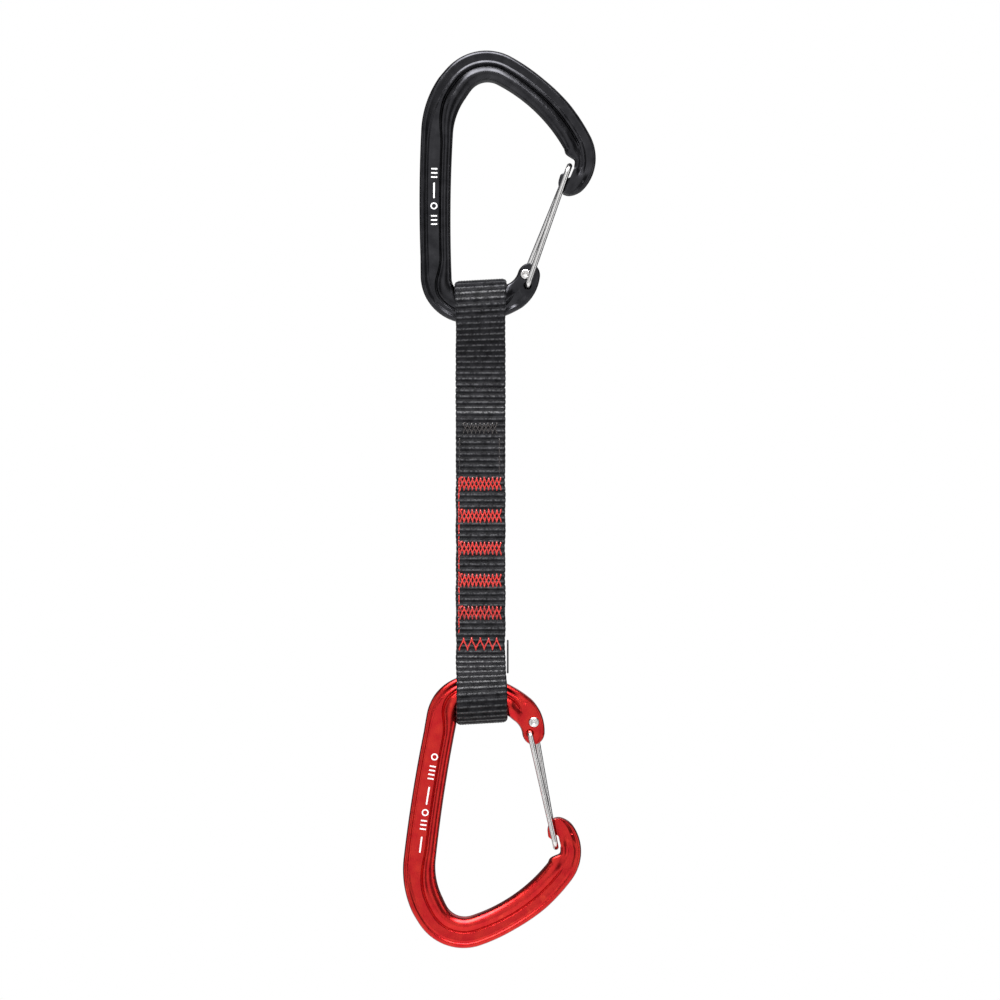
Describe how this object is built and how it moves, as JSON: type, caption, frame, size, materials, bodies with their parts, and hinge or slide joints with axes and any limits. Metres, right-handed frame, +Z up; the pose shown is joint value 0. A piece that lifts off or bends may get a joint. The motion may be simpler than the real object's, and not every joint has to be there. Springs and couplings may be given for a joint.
{
  "type": "climbing quickdraw",
  "caption": "Climbing quickdraw: black and red anodised wire-gate carabiners joined by a sewn dark webbing sling with red bar tacks.",
  "frame": {"origin": "crown of the top carabiner's basket, where it bears on a bolt hanger, in the middle plane of the stock", "axes": "+Z up along the hanging quickdraw, +X towards the gates' side, front towards -Y"},
  "size_m": [0.0697, 0.0202, 0.3246],
  "materials": {
    "black_anodised": "satin black anodised, hot-forged aluminium",
    "red_anodised": "glossy red anodised, hot-forged aluminium",
    "stainless_wire": "bright drawn stainless wire",
    "webbing": "tight flat woven webbing with raised cross ribs",
    "rubber": "matt moulded rubber",
    "red_thread": "bonded thread with a slight sheen",
    "black_thread": "bonded thread with a slight sheen"
  },
  "bodies": {
    "top_carabiner": {"top_carabiner_body": "black_anodised"},
    "top_gate": {"top_gate_wire": "stainless_wire"},
    "sling_loop": {"webbing_top_loop": "webbing"},
    "sling_neck": {"webbing_neck_front_ply": "webbing", "webbing_neck_back_ply": "webbing"},
    "sling_lower": {"webbing_main_ply": "webbing", "webbing_tail_ply": "webbing", "rubber_keeper": "rubber", "dark_bartack_needle_thread": "black_thread", "dark_bartack_bobbin_thread": "black_thread", "red_bartack_1_needle_thread": "red_thread", "red_bartack_1_bobbin_thread": "red_thread", "red_bartack_2_needle_thread": "red_thread", "red_bartack_2_bobbin_thread": "red_thread", "red_bartack_3_needle_thread": "red_thread", "red_bartack_3_bobbin_thread": "red_thread", "red_bartack_4_needle_thread": "red_thread", "red_bartack_4_bobbin_thread": "red_thread", "red_bartack_5_needle_thread": "red_thread", "red_bartack_5_bobbin_thread": "red_thread", "red_zigzag_needle_thread": "red_thread", "red_zigzag_bobbin_thread": "red_thread", "red_edge_stitch_needle_thread": "red_thread", "red_edge_stitch_bobbin_thread": "red_thread", "black_edge_stitch_left_needle_thread": "black_thread", "black_edge_stitch_left_bobbin_thread": "black_thread", "black_edge_stitch_right_needle_thread": "black_thread", "black_edge_stitch_right_bobbin_thread": "black_thread"},
    "bottom_carabiner": {"bottom_carabiner_body": "red_anodised"},
    "bottom_gate": {"bottom_gate_wire": "stainless_wire"}
  },
  "joints": [
    {"name": "top_gate_hinge", "type": "hinge", "parent": "top_carabiner", "child": "top_gate", "pos_m": [0.0137, 0, -0.0717], "axis": [0, -1, 0], "range_deg": [0, 32], "stiffness_Nm_per_rad": 0.3, "springref_deg": -17.19},
    {"name": "sling_swing", "type": "hinge", "parent": "top_carabiner", "child": "sling_loop", "pos_m": [-0.0025, 0, -0.0805], "axis": [1, 0, 0], "range_deg": [-150, 150]},
    {"name": "sling_twist", "type": "hinge", "parent": "sling_loop", "child": "sling_neck", "pos_m": [-0.0025, 0, -0.107], "axis": [0, 0, 1], "range_deg": [-90, 90], "stiffness_Nm_per_rad": 0.02},
    {"name": "sling_bend", "type": "hinge", "parent": "sling_neck", "child": "sling_lower", "pos_m": [-0.0025, 0, -0.115], "axis": [1, 0, 0], "range_deg": [-90, 90], "stiffness_Nm_per_rad": 0.05},
    {"name": "bottom_carabiner_swing", "type": "hinge", "parent": "sling_lower", "child": "bottom_carabiner", "pos_m": [-0.0014, 0, -0.2221], "axis": [1, 0, 0], "range_deg": [-150, 150]},
    {"name": "bottom_gate_hinge", "type": "hinge", "parent": "bottom_carabiner", "child": "bottom_gate", "pos_m": [0.01564, 0, -0.23367], "axis": [0, 1, 0], "range_deg": [0, 32], "stiffness_Nm_per_rad": 0.3, "springref_deg": -17.19}
  ]
}
